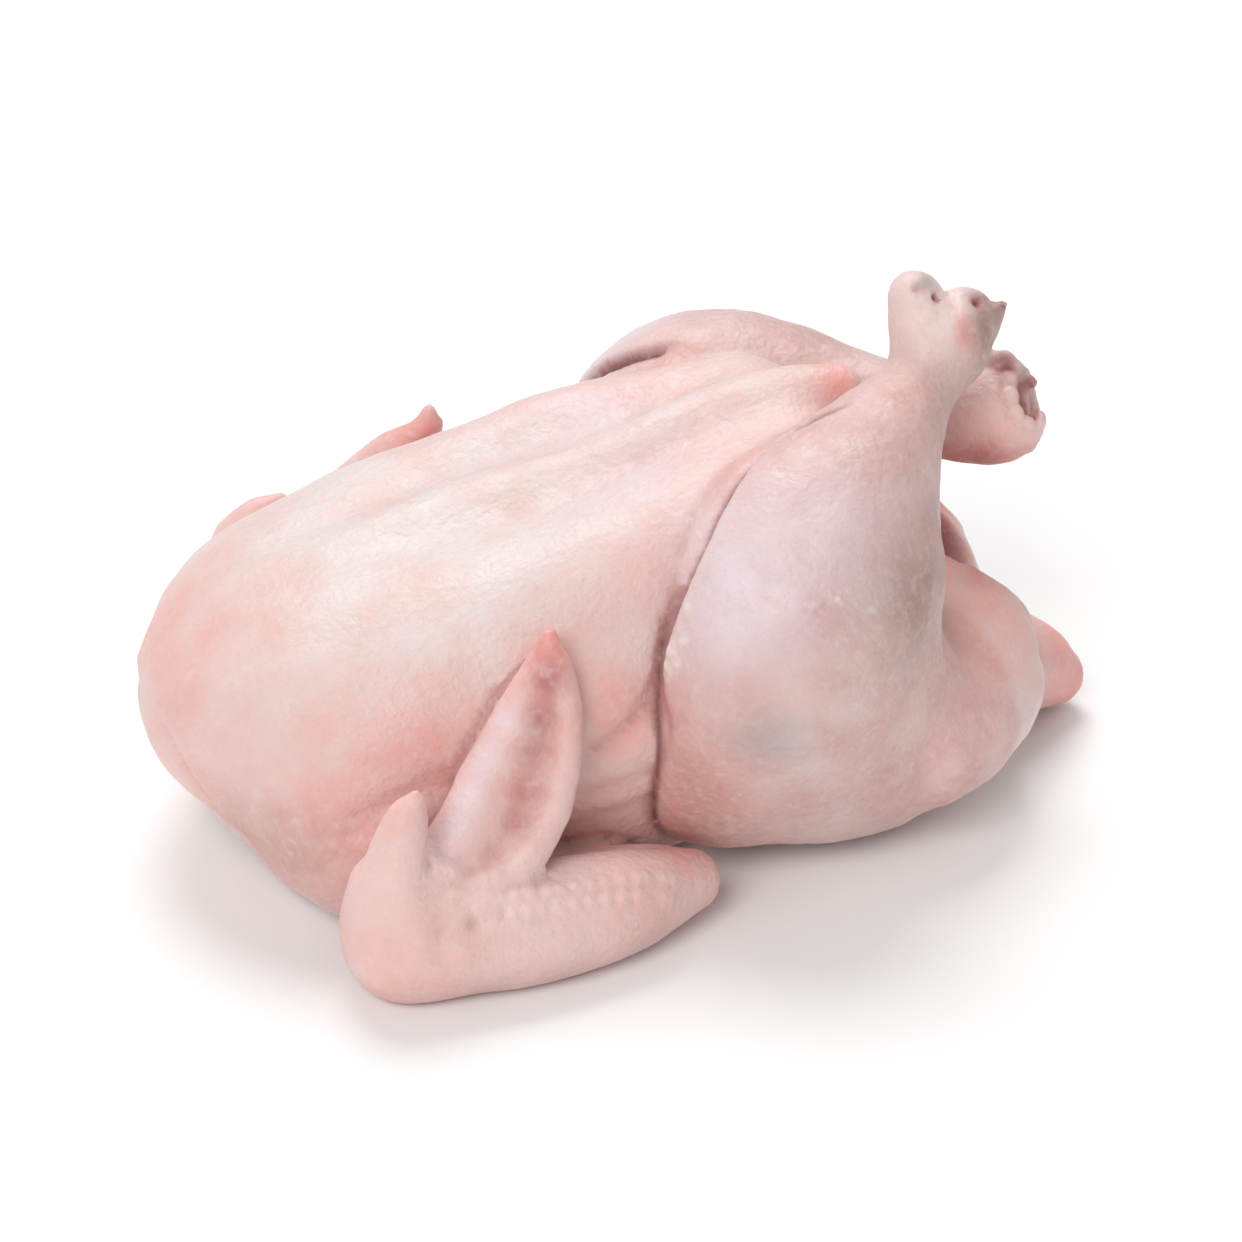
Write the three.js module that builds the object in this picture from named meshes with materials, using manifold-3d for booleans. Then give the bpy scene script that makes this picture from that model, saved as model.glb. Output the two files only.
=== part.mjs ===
// A whole raw chicken lying on its back: one closed solid with breast, back, folded wings,
// bent legs, tail and vent. Millimetres: +Z is up, -X the neck end, +X the tail end and -Y the
// bird's right side. The skin is the zero level of a distance field. Rounded muscles are blended
// where one skin runs over them, and meet in a crease where one lies against another.

import * as THREE from "three";
import { mergeVertices } from "three/addons/utils/BufferGeometryUtils.js";
import Module from "manifold-3d";

// ---- Driving dimensions. A muscle is an ellipsoid, blunter the higher its bluntness, and its
// pitch in degrees raises its tail end. A limb is a round or flattened tube through stations.
// A point is [x, y, z], and its y is mirrored for the bird's right side. ----

const CHEST = { centre: [-54, 0, 46], radii: [81, 65, 44], bluntness: 2.1, pitch: 2 };
const BACK = { centre: [25, 0, 38.5], radii: [81, 52, 41.5], bluntness: 2.3 };
const SHOULDER = { centre: [-83.5, 47, 25], radii: [23.5, 22.5, 24.5] };
const FLANK = { centre: [-23.5, 41.5, 41.5], radii: [41.5, 22.5, 27], pitch: 8 };
const BREAST_LOBE = [
  { at: [-84.5, 28, 47.5], radius: 28 },
  { at: [-43, 30.5, 61], radius: 30.5 },
  { at: [0, 29, 75.5], radius: 29.5 },
  { at: [41.5, 20, 93.5], radius: 20.5 },
];
const KEEL = [
  { at: [-104.5, 0, 66.5], radius: 7 },
  { at: [-62, 0, 83], radius: 7 },
  { at: [-6.5, 0, 98], radius: 7 },
  { at: [22.5, 0, 108], radius: 7 },
  { at: [45, 0, 112.5], radius: 7 },
  { at: [62, 0, 112.5], radius: 6.5 },
];
const NECK_FLAP = [
  { at: [-95.5, -30.5, 11.5], radius: 11 },
  { at: [-109, -5.5, 15.5], radius: 13.5 },
  { at: [-101, 25, 11.5], radius: 11 },
];

const RIGHT_RUMP = { centre: [83.5, 27, 32.5], radii: [31.5, 29, 25], bluntness: 2.1 };
const LEFT_RUMP = { centre: [83, 27, 31.5], radii: [31.5, 28, 31.5] };
const TAIL = [
  { at: [97, 0, 21.5], radius: 21.5, thickness: 18 },
  { at: [117, 0, 15.5], radius: 15.5, thickness: 12.5 },
  { at: [131, 0, 10], radius: 9, thickness: 8.5 },
];
const VENT = [
  { at: [124, 0, 66.5], radius: 14.5 },
  { at: [99, 0, 56], radius: 14.5 },
  { at: [83, 0, 48.5], radius: 12.5 },
];

const THIGH = { centre: [35.5, 48.5, 38.5], radii: [50, 30.5, 38.5], bluntness: 2.15, pitch: -12 };
const RIGHT_DRUMSTICK = [
  { at: [28.5, 50.5, 66.5], radius: 37.5 },
  { at: [36, 48.5, 81], radius: 36 },
  { at: [49.5, 41.5, 98], radius: 26.5 },
  { at: [61.5, 32.5, 112.5], radius: 17.5 },
  { at: [72, 23.5, 124.5], radius: 12.5 },
  { at: [82, 16, 133], radius: 11 },
];
const RIGHT_KNUCKLES = [
  { centre: [78.5, 13.5, 141.5], radii: [9, 10, 9] },
  { centre: [93.5, 11.5, 135], radii: [10, 10, 9] },
];
const LEFT_DRUMSTICK = [
  { at: [30.5, 50.5, 69.5], radius: 34 },
  { at: [38, 48.5, 82], radius: 32.5 },
  { at: [56, 41.5, 88], radius: 25 },
  { at: [75.5, 29, 91], radius: 17 },
  { at: [90, 16, 94.5], radius: 12 },
  { at: [101.5, 7, 96.5], radius: 14 },
  { at: [110, 3.5, 96.5], radius: 16 },
];
const LEFT_SOCKET = { centre: [128, -1, 101], radii: [8, 11, 11] };

const DRUMETTE = [
  { at: [-79, 45, 18], radius: 15.5 },
  { at: [-40.5, 59.5, 10], radius: 10.5 },
  { at: [-11.5, 72, 11], radius: 10.5 },
];
const FOREARM = [
  { at: [-11, 78.5, 11.5], radius: 11 },
  { at: [-29, 84.5, 13.5], radius: 15.5 },
  { at: [-58.5, 88, 14.5], radius: 16 },
  { at: [-83, 84.5, 17], radius: 15.5 },
];
const WRIST = [
  { at: [-83.5, 85.5, 16], radius: 15.5 },
  { at: [-87.5, 86.5, 34], radius: 12.5 },
];
const ALULA = [
  { at: [-87.5, 86.5, 29], radius: 11.5 },
  { at: [-83.5, 89, 44], radius: 9 },
  { at: [-80, 88, 53], radius: 5.5 },
];
const HAND = [
  { at: [-70, 82, 30.5], radius: 11, thickness: 8 },
  { at: [-59.5, 80, 46], radius: 11, thickness: 7 },
  { at: [-50.5, 77.5, 61], radius: 11, thickness: 6.5 },
  { at: [-43, 72, 76.5], radius: 8, thickness: 5.5 },
  { at: [-38, 67.5, 88], radius: 4, thickness: 3.5 },
];
const HAND_FACING = [-0.25, 0.84, 0.48];

// Widths of the blends: wide under one skin, narrow in a crease. Thigh and rump share one skin
// below RUMP_TOP and behind RUMP_START, and part in a crease elsewhere.
const SKIN_BLEND = 18;
const KEEL_BLEND = 16;
const JOINT_BLEND = 12.5;
const LOBE_BLEND = 11;
const KNUCKLE_BLEND = 5.5;
const WING_CREASE = 5.5;
const CREASE = 2.7;
const RUMP_TOP = 43;
const RUMP_START = 54;
const RUMP_FADE = 24;

// Meshing: the cells, which are narrower beyond WING_ZONE, and the box of cells round the bird.
const CELL = 6.9;
const FINE_CELL = 3.15;
const WING_ZONE = 59;
const LOWEST = [-144, -114, -20];
const HIGHEST = [151, 114, 164];
const LIMB_STEPS = 4;
const PINCH_DEPTH = 0.5;
const RELAX_ROUNDS = 4;
const RELAX_SHARE = 0.5;
const SETTLE_ROUNDS = 4;
const SETTLE_REACH = CELL / 3;
const GAP_VALUE = 0.6;
const SLOPE_STEP = 0.05;
const LEAST_SLOPE = 0.2;
const NEAR_CENTRE = 1e-3;
const SAME_POINT = 1e-4;
const TABLE_DEPTH = 40;

// ---- Distance fields: functions of x, y and z, negative inside ----

function muscle({ centre, radii, bluntness = 2, pitch = 0 }, side = 1) {
  const [rx, ry, rz] = radii;
  const cos = Math.cos(THREE.MathUtils.degToRad(pitch));
  const sin = Math.sin(THREE.MathUtils.degToRad(pitch));
  return (x, y, z) => {
    const dx = x - centre[0];
    const dz = z - centre[2];
    const u = Math.abs(cos * dx + sin * dz) / rx;
    const v = Math.abs(y - side * centre[1]) / ry;
    const w = Math.abs(cos * dz - sin * dx) / rz;
    const reach = (u ** bluntness + v ** bluntness + w ** bluntness) ** (1 / bluntness);
    if (reach < NEAR_CENTRE) {
      return -Math.min(rx, ry, rz);
    }
    const slope = Math.hypot(
      u ** (bluntness - 1) / rx,
      v ** (bluntness - 1) / ry,
      w ** (bluntness - 1) / rz,
    );
    return ((reach - 1) * reach ** (bluntness - 1)) / slope;
  };
}

// Places along a limb, each with its half width and half thickness, on one smooth curve.
function placesAlong(limb, side) {
  const centres = new THREE.CatmullRomCurve3(
    limb.map(({ at }) => new THREE.Vector3(at[0], side * at[1], at[2])),
  );
  const girths = new THREE.CatmullRomCurve3(
    limb.map(({ radius, thickness = radius }) => new THREE.Vector3(radius, thickness, 0)),
    false,
    "catmullrom",
  );
  const count = LIMB_STEPS * (limb.length - 1);
  return Array.from({ length: count + 1 }, (_, i) => ({
    centre: centres.getPoint(i / count),
    girth: girths.getPoint(i / count),
  }));
}

// The distance from a point to one stretch of a limb, flattened along the normal.
function stretchDistance(point, from, to, normal) {
  const stretch = to.centre.clone().sub(from.centre);
  const offset = point.clone().sub(from.centre);
  const share = THREE.MathUtils.clamp(offset.dot(stretch) / stretch.lengthSq(), 0, 1);
  offset.addScaledVector(stretch, -share);
  const wide = THREE.MathUtils.lerp(from.girth.x, to.girth.x, share);
  const thick = THREE.MathUtils.lerp(from.girth.y, to.girth.y, share);
  const deep = offset.dot(normal);
  const broad = Math.sqrt(Math.max(0, offset.lengthSq() - deep * deep));
  const reach = Math.hypot(broad / wide, deep / thick);
  const slope = Math.hypot(broad / wide ** 2, deep / thick ** 2);
  return reach < NEAR_CENTRE ? -thick : (reach * (reach - 1)) / slope;
}

// A limb is round, or flattened along the direction that it faces.
function limb(stations, side = 1, facing = [0, 0, 1]) {
  const places = placesAlong(stations, side);
  const normal = new THREE.Vector3(facing[0], side * facing[1], facing[2]).normalize();
  return (x, y, z) => {
    const point = new THREE.Vector3(x, y, z);
    const stretches = places.slice(1);
    return stretches.reduce(
      (least, to, n) => Math.min(least, stretchDistance(point, places[n], to, normal)),
      Infinity,
    );
  };
}

// The union of two fields, rounded over the given width.
function blend(first, second, width) {
  const widthAt = typeof width === "function" ? width : () => width;
  return (x, y, z) => {
    const a = first(x, y, z);
    const b = second(x, y, z);
    const w = widthAt(x, y, z);
    const overlap = Math.max(w - Math.abs(a - b), 0);
    return Math.min(a, b) - overlap ** 2 / (4 * w);
  };
}

// The first field with the second taken out of it, its rim rounded over the given width.
function carve(first, second, width) {
  const negative = (field) => (x, y, z) => -field(x, y, z);
  return negative(blend(negative(first), second, width));
}

const both = (make, width) => blend(make(-1), make(1), width);

// ---- Anatomy ----

function torso() {
  const lobes = both((side) => limb(BREAST_LOBE, side), LOBE_BLEND);
  const shoulders = both((side) => muscle(SHOULDER, side), LOBE_BLEND);
  const flanks = both((side) => muscle(FLANK, side), LOBE_BLEND);
  let field = blend(muscle(CHEST), muscle(BACK), SKIN_BLEND);
  field = blend(field, lobes, SKIN_BLEND);
  field = blend(field, limb(KEEL), KEEL_BLEND);
  field = blend(field, shoulders, SKIN_BLEND);
  field = blend(field, flanks, SKIN_BLEND);
  return blend(field, limb(NECK_FLAP), JOINT_BLEND);
}

function rump() {
  const lobes = blend(muscle(RIGHT_RUMP, -1), muscle(LEFT_RUMP), LOBE_BLEND);
  return blend(lobes, limb(TAIL), LOBE_BLEND);
}

function rightLeg() {
  const whole = blend(muscle(THIGH, -1), limb(RIGHT_DRUMSTICK, -1), SKIN_BLEND);
  return RIGHT_KNUCKLES.reduce(
    (field, knuckle) => blend(field, muscle(knuckle, -1), KNUCKLE_BLEND),
    whole,
  );
}

function leftLeg() {
  const whole = blend(muscle(THIGH), limb(LEFT_DRUMSTICK), SKIN_BLEND);
  return carve(whole, muscle(LEFT_SOCKET), CREASE);
}

function wing(side) {
  let field = blend(limb(DRUMETTE, side), limb(FOREARM, side), CREASE);
  field = blend(field, limb(WRIST, side), JOINT_BLEND);
  field = blend(field, limb(HAND, side, HAND_FACING), WING_CREASE);
  return blend(field, limb(ALULA, side), CREASE);
}

function legCrease(x, y, z) {
  const low = THREE.MathUtils.smoothstep(RUMP_TOP - z, 0, RUMP_FADE);
  const behind = THREE.MathUtils.smoothstep(x - RUMP_START, 0, RUMP_FADE);
  return CREASE + low * behind * SKIN_BLEND;
}

function bird() {
  let field = blend(torso(), rump(), SKIN_BLEND);
  field = carve(field, limb(VENT), KNUCKLE_BLEND);
  field = blend(field, leftLeg(), legCrease);
  field = blend(field, rightLeg(), legCrease);
  return blend(field, both(wing, CREASE), WING_CREASE);
}

// ---- Meshing ----

// Grid lines along one axis, closer together across the wings.
function gridLines(axis) {
  const lines = [LOWEST[axis]];
  while (lines[lines.length - 1] < HIGHEST[axis]) {
    const last = lines[lines.length - 1];
    const fine = axis === 1 && Math.abs(last + CELL / 2) > WING_ZONE;
    lines.push(last + (fine ? FINE_CELL : CELL));
  }
  return lines;
}

// Whether the corners of a cell that lie on one side of the level fall into separate groups.
// Corners are numbered by the bits of their x, y and z steps, so neighbours differ in one bit,
// and three rounds over the bits join every group.
function isPinched(inside) {
  return [true, false].some((side) => {
    const group = inside.map((value, corner) => (value === side ? corner : -1));
    for (const bit of [1, 2, 4, 1, 2, 4, 1, 2, 4]) {
      group.forEach((label, corner) => {
        const other = group[corner ^ bit];
        group[corner] = label >= 0 && other >= 0 ? Math.min(label, other) : label;
      });
    }
    return new Set(group.filter((label) => label >= 0)).size > 1;
  });
}

// The zero level of a field as a closed mesh: one vertex in each grid cell that the level crosses.
class SkinGeometry extends THREE.BufferGeometry {
  constructor(field) {
    super();
    this.field = field;
    this.lines = [0, 1, 2].map(gridLines);
    this.size = this.lines.map((lines) => lines.length);
    this.values = this.sampled();
    this.closePinches();
    this.placeVertices();
    this.joinFaces();
    this.relax();
  }

  node(i, j, k) {
    return (i * this.size[1] + j) * this.size[2] + k;
  }

  nodeAt([i, j, k]) {
    return new THREE.Vector3(this.lines[0][i], this.lines[1][j], this.lines[2][k]);
  }

  sampled() {
    const [xs, ys, zs] = this.lines;
    return xs.flatMap((x) => ys.flatMap((y) => zs.map((z) => this.field(x, y, z))));
  }

  // The eight corners of a cell, as grid steps.
  corners(i, j, k) {
    const numbers = [0, 1, 2, 3, 4, 5, 6, 7];
    return numbers.map((c) => [i + (c & 1), j + ((c >> 1) & 1), k + ((c >> 2) & 1)]);
  }

  eachCell(visit) {
    const [nx, ny, nz] = this.size;
    for (let i = 0; i < nx - 1; i += 1) {
      for (let j = 0; j < ny - 1; j += 1) {
        for (let k = 0; k < nz - 1; k += 1) {
          visit(i, j, k);
        }
      }
    }
  }

  // Fills each gap that is narrower than a cell, so that the level crosses a cell only once.
  closePinches() {
    let filled = true;
    while (filled) {
      filled = false;
      this.eachCell((i, j, k) => {
        const nodes = this.corners(i, j, k).map((corner) => this.node(...corner));
        if (isPinched(nodes.map((node) => this.values[node] < 0))) {
          const outer = nodes.filter((node) => this.values[node] >= 0);
          outer.sort((a, b) => this.values[a] - this.values[b]);
          this.values[outer[0]] = -PINCH_DEPTH;
          filled = true;
        }
      });
    }
  }

  // Where the level crosses the edges of a cell.
  crossings(i, j, k) {
    const found = [];
    this.corners(i, j, k).forEach((from, number) => {
      const a = this.values[this.node(...from)];
      for (const axis of [0, 1, 2]) {
        const to = from.map((step, n) => (n === axis ? step + 1 : step));
        const b = (number >> axis) & 1 ? a : this.values[this.node(...to)];
        if (a < 0 !== b < 0) {
          found.push(this.nodeAt(from).lerp(this.nodeAt(to), a / (a - b)));
        }
      }
    });
    return found;
  }

  placeVertices() {
    this.vertexIn = new Map();
    this.points = [];
    this.eachCell((i, j, k) => {
      const found = this.crossings(i, j, k);
      if (found.length > 0) {
        const sum = found.reduce((total, point) => total.add(point), new THREE.Vector3());
        this.vertexIn.set(this.node(i, j, k), this.points.length);
        this.points.push(sum.divideScalar(found.length));
      }
    });
  }

  // Each grid edge that the level crosses gives a four-sided face between the cells round it.
  joinFaces() {
    const index = [];
    this.eachCell((i, j, k) => {
      if (Math.min(i, j, k) > 0) {
        [0, 1, 2].forEach((axis) => index.push(...this.face([i, j, k], axis)));
      }
    });
    this.setIndex(index);
  }

  face(from, axis) {
    const to = from.map((step, n) => (n === axis ? step + 1 : step));
    const inside = this.values[this.node(...from)] < 0;
    if (inside === this.values[this.node(...to)] < 0) {
      return [];
    }
    const square = [[0, 0], [1, 0], [1, 1], [0, 1]];
    const round = square.map(([first, second]) => {
      const cell = [...from];
      cell[(axis + 1) % 3] -= first;
      cell[(axis + 2) % 3] -= second;
      return this.vertexIn.get(this.node(...cell));
    });
    const [a, b, c, d] = inside ? round : round.reverse();
    const gap = (p, q) => this.points[p].distanceToSquared(this.points[q]);
    return gap(a, c) < gap(b, d) ? [a, b, c, a, c, d] : [b, c, d, b, d, a];
  }

  // Moves a point to the level along the field's slope, within SETTLE_REACH. One that bridges a
  // filled gap stays where it is.
  settle(point) {
    const moved = point.clone();
    if (this.field(point.x, point.y, point.z) > GAP_VALUE) {
      return moved;
    }
    for (let round = 0; round < SETTLE_ROUNDS; round += 1) {
      const { x, y, z } = moved;
      const value = this.field(x, y, z);
      const slope = new THREE.Vector3(
        this.field(x + SLOPE_STEP, y, z) - value,
        this.field(x, y + SLOPE_STEP, z) - value,
        this.field(x, y, z + SLOPE_STEP) - value,
      ).divideScalar(SLOPE_STEP);
      moved.addScaledVector(slope, -value / Math.max(slope.lengthSq(), LEAST_SLOPE));
    }
    return moved.sub(point).clampLength(0, SETTLE_REACH).add(point);
  }

  // Evens out the vertices: each goes part of the way to its neighbours' middle, then settles.
  relax() {
    const index = this.getIndex().array;
    for (let round = 0; round < RELAX_ROUNDS; round += 1) {
      const sums = this.points.map(() => new THREE.Vector3());
      const counts = this.points.map(() => 0);
      index.forEach((vertex, n) => {
        const next = n % 3 === 2 ? index[n - 2] : index[n + 1];
        sums[vertex].add(this.points[next]);
        counts[vertex] += 1;
      });
      this.points = this.points.map((point, n) => {
        const middle = sums[n].divideScalar(counts[n]);
        return this.settle(point.clone().lerp(middle, RELAX_SHARE));
      });
    }
    const positions = this.points.flatMap((point) => point.toArray());
    this.setAttribute("position", new THREE.Float32BufferAttribute(positions, 3));
  }
}

// ---- Solids: the bird, cut flat where it rests ----

const wasm = await Module();
wasm.setup();

function solidOf(geometry) {
  const bare = new THREE.BufferGeometry();
  bare.setAttribute("position", geometry.getAttribute("position"));
  bare.setIndex(geometry.getIndex());
  const merged = mergeVertices(bare, SAME_POINT);
  return new wasm.Manifold(
    new wasm.Mesh({
      numProp: 3,
      vertProperties: merged.attributes.position.array,
      triVerts: new Uint32Array(merged.index.array),
    }),
  );
}

function geometryOf(solid) {
  const { numProp, numVert, vertProperties, triVerts } = solid.getMesh();
  const positions = new Float32Array(3 * numVert);
  for (let i = 0; i < numVert; i += 1) {
    positions.set(vertProperties.subarray(i * numProp, i * numProp + 3), 3 * i);
  }
  const geometry = new THREE.BufferGeometry();
  geometry.setAttribute("position", new THREE.BufferAttribute(positions, 3));
  geometry.setIndex(new THREE.BufferAttribute(triVerts, 1));
  geometry.computeVertexNormals();
  return geometry;
}

function belowTable() {
  const slab = new THREE.BoxGeometry(2 * HIGHEST[0], 2 * HIGHEST[1], TABLE_DEPTH);
  slab.translate(0, 0, -TABLE_DEPTH / 2);
  return solidOf(slab);
}

const skin = new THREE.MeshStandardMaterial({ color: 0xe6bfb4, roughness: 0.45, metalness: 0 });
const resting = solidOf(new SkinGeometry(bird())).subtract(belowTable());
const chicken = new THREE.Mesh(geometryOf(resting), skin);
chicken.name = "chicken";

const part = new THREE.Group();
part.add(chicken);

export default part;
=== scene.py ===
"""A whole raw chicken, plucked and drawn, lying on its back. One skin covers the body, the legs and
the wings. Lengths are millimetres in the bird's own frame, where +Z is up, -X the neck end and -Y
the bird's right side, and they become metres where the mesh is made."""

import math
from concurrent.futures import ThreadPoolExecutor

import bmesh
import bpy
import numpy as np
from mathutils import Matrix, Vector, noise


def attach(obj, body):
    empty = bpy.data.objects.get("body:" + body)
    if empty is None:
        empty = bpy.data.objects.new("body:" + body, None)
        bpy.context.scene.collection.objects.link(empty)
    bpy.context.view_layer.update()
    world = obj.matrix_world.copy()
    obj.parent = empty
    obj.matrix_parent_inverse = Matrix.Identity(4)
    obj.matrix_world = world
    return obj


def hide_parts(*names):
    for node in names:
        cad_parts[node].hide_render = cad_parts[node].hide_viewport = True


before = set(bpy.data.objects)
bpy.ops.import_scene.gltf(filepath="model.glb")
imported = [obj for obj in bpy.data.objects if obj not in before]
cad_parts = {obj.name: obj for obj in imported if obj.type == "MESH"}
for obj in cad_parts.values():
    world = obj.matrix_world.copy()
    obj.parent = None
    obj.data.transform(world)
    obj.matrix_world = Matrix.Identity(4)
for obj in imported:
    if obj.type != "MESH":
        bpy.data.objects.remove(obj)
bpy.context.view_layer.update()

# ---- Body ----------------------------------------------------------------------------------
# The trunk: ribs and back below, and the two breast muscles above with the keel bone between
# them, all under one loose skin. Each muscle and limb is a distance field, negative inside, and
# the fields are blended as the skin runs over them.

LIMB_STEPS = 8  # points of a limb's curve from one station to the next
FAR = 26.0  # beyond this a muscle or limb has no say in the surface
PITCH_ROOM = 1.2  # room round a muscle's radii for its pitch
TINY = 1e-3


def near_only(low, high, field):
    """The field inside a box and FAR outside it, where it has no say in the surface."""

    def culled(points):
        value = np.full(len(points), FAR)
        near = ((points > low) & (points < high)).all(axis=1)
        value[near] = np.minimum(field(points[near]), FAR)
        return value

    return culled


def muscle(centre, radii, bluntness=2.0, pitch=0.0, side=1):
    """An ellipsoid, blunter the higher its bluntness, with its tail end raised by pitch degrees."""
    centre = np.array(centre) * (1, side, 1)
    radii = np.array(radii)
    cos, sin = math.cos(math.radians(pitch)), math.sin(math.radians(pitch))
    turn = np.array([[cos, 0, sin], [0, 1, 0], [-sin, 0, cos]])

    def field(points):
        share = np.abs((points - centre) @ turn.T) / radii
        reach = np.maximum((share**bluntness).sum(axis=1) ** (1 / bluntness), TINY)
        slope = np.linalg.norm(share ** (bluntness - 1) / radii, axis=1)
        return (reach - 1) * reach ** (bluntness - 1) / np.maximum(slope, TINY**2)

    span = radii.max() * PITCH_ROOM + FAR
    return near_only(centre - span, centre + span, field)


def smooth_line(stations, gaps, steps=LIMB_STEPS):
    """Points on one curve through the stations: a Catmull-Rom spline with those knot gaps."""
    rows = np.vstack([2 * stations[0] - stations[1], stations, 2 * stations[-1] - stations[-2]])
    gaps = np.concatenate([gaps[:1], gaps, gaps[-1:]])
    points = []
    for n in range(1, len(rows) - 2):
        a, b, c, d = rows[n - 1 : n + 3]
        g, h, k = gaps[n - 1 : n + 2]
        enter = ((b - a) / g - (c - a) / (g + h) + (c - b) / h) * h
        leave = ((c - b) / h - (d - b) / (h + k) + (d - c) / k) * h
        for t in np.arange(steps) / steps:
            bend = t**2 * (3 * (c - b) - 2 * enter - leave) + t**3 * (2 * (b - c) + enter + leave)
            points.append(b + t * enter + bend)
    points.append(rows[-2])
    return np.array(points)


def path(stations, side=1, steps=LIMB_STEPS):
    """One smooth curve through places given for the left side, or mirrored with side -1."""
    places = np.array(stations, dtype=float)[:, :3] * (1, side, 1)
    return smooth_line(places, np.sqrt(np.linalg.norm(np.diff(places, axis=0), axis=1)), steps)


def limb(stations, side=1, facing=(0, 0, 1), lumps=0.0, lump_length=5.0):
    """A tube through stations of x, y, z, half width and, where it is flat, half thickness."""
    places = path(stations, side)
    girths = np.array([s[3:] if len(s) == 5 else (s[3], s[3]) for s in stations], dtype=float)
    girths = smooth_line(girths, np.ones(len(girths) - 1))
    run = np.concatenate([[0], np.cumsum(np.linalg.norm(np.diff(places, axis=0), axis=1))])
    girths *= 1 + lumps * np.sin(2 * math.pi * run / lump_length)[:, None]
    flat = girths[:, 0] != girths[:, 1]
    normal = np.array(facing) * (1, side, 1)
    normal = normal / np.linalg.norm(normal)
    starts, stretches = places[:-1], np.diff(places, axis=0)
    lengths = (stretches**2).sum(axis=1)
    (wide_start, thick_start), (wide_gain, thick_gain) = girths[:-1].T, np.diff(girths, axis=0).T

    def field(points):
        along = points @ stretches.T - (starts * stretches).sum(axis=1)
        share = np.clip(along / lengths, 0, 1)
        gap = (points**2).sum(axis=1)[:, None] - 2 * points @ starts.T + (starts**2).sum(axis=1)
        gap = np.maximum(gap + share * (share * lengths - 2 * along), 0)
        wide = wide_start + share * wide_gain
        if not flat.any():
            return (np.sqrt(gap) - wide).min(axis=1)
        thick = thick_start + share * thick_gain
        deep = (points @ normal)[:, None] - starts @ normal - share * (stretches @ normal)
        broad = np.sqrt(np.maximum(gap - deep**2, 0))
        reach = np.hypot(broad / wide, deep / thick)
        slope = np.maximum(np.hypot(broad / wide**2, deep / thick**2), TINY**2)
        return np.where(reach < TINY, -thick, reach * (reach - 1) / slope).min(axis=1)

    span = girths.max() + FAR
    return near_only(places.min(axis=0) - span, places.max(axis=0) + span, field)


def blend(first, second, width):
    """The union of two fields, rounded over a width, which may itself vary from point to point."""

    def field(points):
        a, b = first(points), second(points)
        w = width(points) if callable(width) else width
        overlap = np.maximum(w - np.abs(a - b), 0)
        return np.minimum(a, b) - overlap**2 / (4 * w)

    return field


def carve(first, second, width):
    """The first field with the second taken out of it, its rim rounded over a width."""
    return lambda points: -blend(lambda p: -first(p), second, width)(points)


def both(make, width):
    """What make builds for the right side and for the left side, as one field."""
    return blend(make(-1), make(1), width)


SKIN_BLEND = 18
JOINT_BLEND = 12.5
LOBE_BLEND = 11
KEEL_BLEND = 15

CHEST = ((-54, 0, 46), (81, 65, 44), 2.1, 2)
BELLY = ((25, 0, 38.5), (81, 52, 41.5), 2.3)
SHOULDER = ((-83.5, 47, 25), (23.5, 22.5, 24.5))
FLANK = ((-23.5, 41.5, 41.5), (41.5, 22.5, 27), 2, 8)
SIDE_SKIN = ((-10, 30, 18), (34, 24, 16))
BREAST_LOBE = [
    (-84.5, 28, 47.5, 28),
    (-43, 30.5, 61, 30.5),
    (0, 29, 75.5, 29.5),
    (41.5, 20, 93.5, 20.5),
]
KEEL = [
    (-103, 0, 65, 7),
    (-62, 0, 83, 7),
    (-6.5, 0, 98, 7),
    (22.5, 0, 108, 7),
    (45, 0, 112.5, 7),
    (62, 0, 112.5, 6.5),
]
NECK_FLAP = [(-95.5, -30.5, 11.5, 11), (-104.5, -5.5, 16, 11.5), (-101, 25, 11.5, 11)]


def trunk():
    field = blend(muscle(*CHEST), muscle(*BELLY), SKIN_BLEND)
    field = blend(field, both(lambda side: limb(BREAST_LOBE, side), LOBE_BLEND), SKIN_BLEND)
    field = blend(field, limb(KEEL), KEEL_BLEND)
    for bulge in (SHOULDER, FLANK, SIDE_SKIN):
        pair = both(lambda side: muscle(*bulge, side=side), LOBE_BLEND)
        field = blend(field, pair, SKIN_BLEND)
    return blend(field, limb(NECK_FLAP), JOINT_BLEND)


# ---- Rump, tail and vent -------------------------------------------------------------------
# Two soft lobes of skin and fat round the vent, which is cut open between them, and the short
# fleshy tail below, which tapers to a blunt point.

TAIL = [(97, 0, 21.5, 21.5, 18), (117, 0, 15.5, 15.5, 12.5), (131.6, 0, 10, 8, 7.9)]
VENT = [(124, -2, 66.5, 16), (99, -4.5, 58.5, 18.5), (83, -4, 50.5, 15.5), (66, -1, 45, 12)]
VENT_RIM = 4.0
RIGHT_LOBE = ((81, 27, 34.5), (30, 28.5, 25.5), 2.2, 14)
LEFT_LOBE = ((83, 27, 31.5), (31.5, 28, 31.5))
TAIL_BLEND = 8


def rump():
    lobes = blend(muscle(*RIGHT_LOBE, side=-1), muscle(*LEFT_LOBE), LOBE_BLEND)
    return blend(lobes, limb(TAIL), TAIL_BLEND)


# ---- Legs ----------------------------------------------------------------------------------
# Thigh and drumstick on each side, bent hard at the knee. The shank is cut off at the hock,
# which leaves two knuckles with a torn scale between them on the right leg, and the open socket
# with its ragged rim of skin on the left one.

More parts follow.
